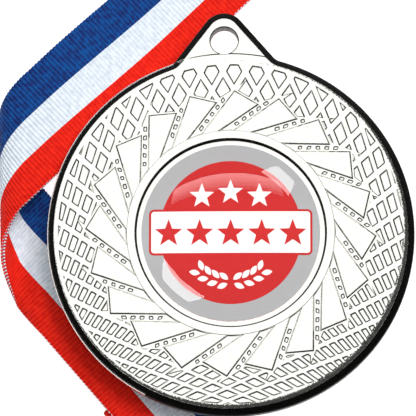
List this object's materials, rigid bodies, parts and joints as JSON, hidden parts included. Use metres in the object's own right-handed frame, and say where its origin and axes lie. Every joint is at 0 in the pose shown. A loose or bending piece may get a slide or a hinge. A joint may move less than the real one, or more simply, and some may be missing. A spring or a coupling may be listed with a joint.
{
  "type": "sports finisher medal",
  "caption": "Round die-cast medal with a pinwheel relief, domed printed centre and lug, lying on its folded striped neck ribbon with clamp and jump ring.",
  "frame": {"origin": "on the table under the middle of the medal, on the underside of the folded ribbon", "axes": "+Z out of the medal's face, +Y from the medal's middle to its lug, +X to the right seen from the face"},
  "size_m": [0.0568, 0.0902, 0.0088],
  "materials": {
    "medal_metal": "bright silver plate with a faint sand-blasted grain",
    "adhesive": "thin pressure-sensitive film",
    "printed_label": "printed vinyl, red and white on grey",
    "clear_resin": "clear polished resin",
    "ribbon_weave": "ribbed grosgrain weave, blue, white and red stripes",
    "thread": "sewing thread",
    "plated_steel": "nickel plated, satin"
  },
  "bodies": {
    "ribbon_set": {"neck_ribbon": "ribbon_weave", "ribbon_hank": "ribbon_weave", "ribbon_stitching": "thread", "ribbon_clamp": "plated_steel"},
    "medal": {"medal_body": "medal_metal", "centre_adhesive": "adhesive", "centre_label": "printed_label", "resin_dome": "clear_resin"},
    "ring": {"jump_ring": "plated_steel"}
  },
  "joints": [
    {"name": "medal_lift", "type": "slide", "parent": "ribbon_set", "child": "medal", "axis": [0, 0, 1], "range_m": [0, 0.03]},
    {"name": "ring_swing", "type": "hinge", "parent": "ribbon_set", "child": "ring", "pos_m": [0.0081, 0.04712, 0.0014], "axis": [0.6691, -0.7431, 0], "range_deg": [0, 120]}
  ]
}
